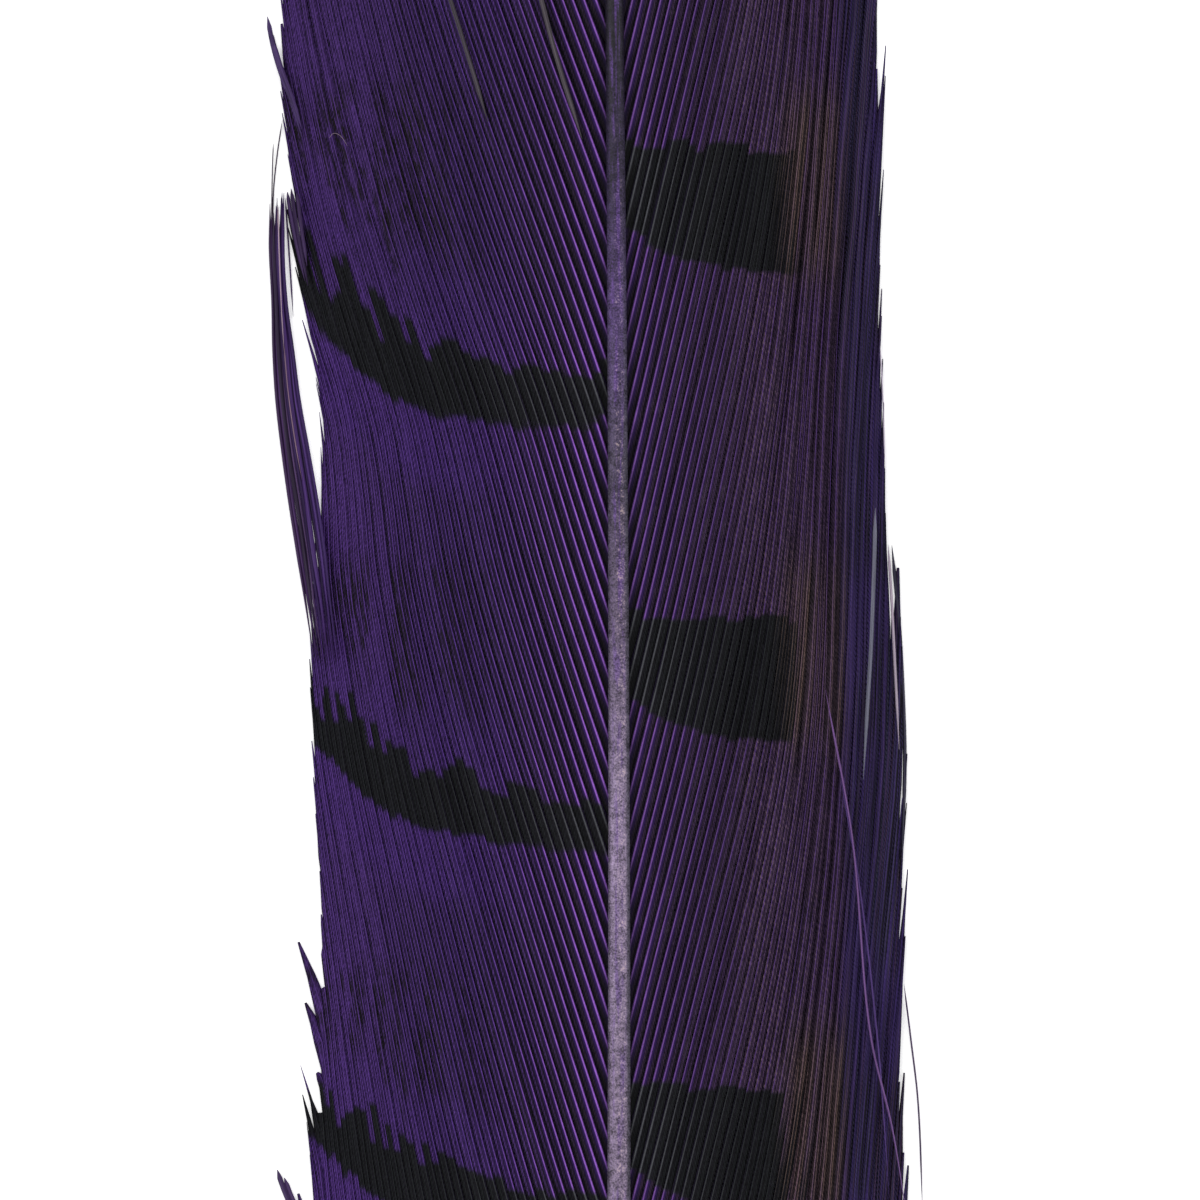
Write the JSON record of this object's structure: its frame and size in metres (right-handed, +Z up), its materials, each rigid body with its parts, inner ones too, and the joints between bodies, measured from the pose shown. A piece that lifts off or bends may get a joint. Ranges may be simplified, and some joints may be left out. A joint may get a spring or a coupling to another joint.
{
  "type": "pheasant tail feather",
  "caption": "Long dyed tail feather with dark cross bars, a slim tapering shaft and a bare quill, lying flat on its vane edges.",
  "frame": {"origin": "centre of the bounding box in plan, on the surface that the feather lies on", "axes": "+Y along the shaft from the quill to the tip, +Z up out of the feather's upper side, +X to the right vane"},
  "size_m": [0.0336, 0.3996, 0.0028],
  "materials": {
    "vane": "dull dyed barbs, deep violet with black bars and a brown edge",
    "shaft": "satin horn, grey with a violet tinge, finely speckled",
    "down": "soft loose down at the foot of the vanes"
  },
  "bodies": {
    "root": {"feather": "vane"}
  },
  "joints": []
}
